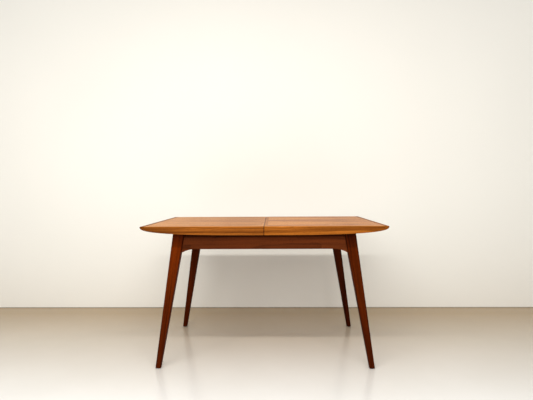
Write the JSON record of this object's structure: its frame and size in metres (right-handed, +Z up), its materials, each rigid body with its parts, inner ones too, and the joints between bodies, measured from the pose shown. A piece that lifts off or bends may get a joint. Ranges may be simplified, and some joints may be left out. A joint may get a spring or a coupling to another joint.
{
  "type": "drop leaf table",
  "caption": "Wooden dining table whose top parts in the middle and slides out on runners to take a loose leaf stored inside its frame, on splayed tapered legs.",
  "frame": {"origin": "on the floor, under the middle of the closed top", "axes": "+X along the table's length, towards the end that the stored leaf pulls out of; +Y from the front long side to the rear one; +Z up"},
  "size_m": [1.3, 0.8, 0.765],
  "materials": {
    "top_teak": "satin lacquer",
    "apron_teak": "satin lacquer",
    "leg_teak": "satin lacquer",
    "beech": "bare, sanded",
    "steel": "zinc plated",
    "nylon": "matt"
  },
  "bodies": {
    "frame": {"front_left_leg": "leg_teak", "front_left_corner_block": "beech", "front_left_leg_bolt": "steel", "front_left_leg_nut": "steel", "front_left_glide": "nylon", "front_right_leg": "leg_teak", "front_right_corner_block": "beech", "front_right_leg_bolt": "steel", "front_right_leg_nut": "steel", "front_right_glide": "nylon", "rear_left_leg": "leg_teak", "rear_left_corner_block": "beech", "rear_left_leg_bolt": "steel", "rear_left_leg_nut": "steel", "rear_left_glide": "nylon", "rear_right_leg": "leg_teak", "rear_right_corner_block": "beech", "rear_right_leg_bolt": "steel", "rear_right_leg_nut": "steel", "rear_right_glide": "nylon", "front_apron": "apron_teak", "rear_apron": "apron_teak", "left_end_rail": "apron_teak", "right_end_rail": "apron_teak", "front_guide": "beech", "rear_guide": "beech", "left_leaf_bearer": "beech", "middle_leaf_bearer": "beech", "right_leaf_bearer": "beech", "leaf_stop_strip": "beech"},
    "top_left": {"left_top_panel": "top_teak", "left_front_edge": "top_teak", "left_rear_edge": "top_teak", "left_end_nosing": "top_teak", "left_joint_edge": "top_teak", "left_front_runner": "beech", "left_rear_runner": "beech", "left_stop_block": "beech", "front_joint_peg": "beech", "rear_joint_peg": "beech", "front_bolt_barrel": "steel", "rear_bolt_barrel": "steel"},
    "top_right": {"right_top_panel": "top_teak", "right_front_edge": "top_teak", "right_rear_edge": "top_teak", "right_end_nosing": "top_teak", "right_joint_edge": "top_teak", "right_front_runner": "beech", "right_rear_runner": "beech", "right_stop_block": "beech", "front_bolt_keeper": "steel", "rear_bolt_keeper": "steel"},
    "bolt_front": {"front_sliding_bolt": "steel"},
    "bolt_rear": {"rear_sliding_bolt": "steel"},
    "leaf": {"leaf_panel": "top_teak", "leaf_inner_edge": "top_teak", "leaf_outer_edge": "top_teak", "leaf_inner_peg": "beech", "leaf_outer_peg": "beech"}
  },
  "joints": [
    {"name": "top_left_slide", "type": "slide", "parent": "frame", "child": "top_left", "axis": [-1, 0, 0], "range_m": [0, 0.235]},
    {"name": "top_right_slide", "type": "slide", "parent": "frame", "child": "top_right", "axis": [1, 0, 0], "range_m": [0, 0.235]},
    {"name": "leaf_slide", "type": "slide", "parent": "frame", "child": "leaf", "axis": [1, 0, 0], "range_m": [0, 0.8]},
    {"name": "bolt_front_slide", "type": "slide", "parent": "top_left", "child": "bolt_front", "axis": [1, 0, 0], "range_m": [0, 0.024]},
    {"name": "bolt_rear_slide", "type": "slide", "parent": "top_left", "child": "bolt_rear", "axis": [1, 0, 0], "range_m": [0, 0.024]}
  ]
}
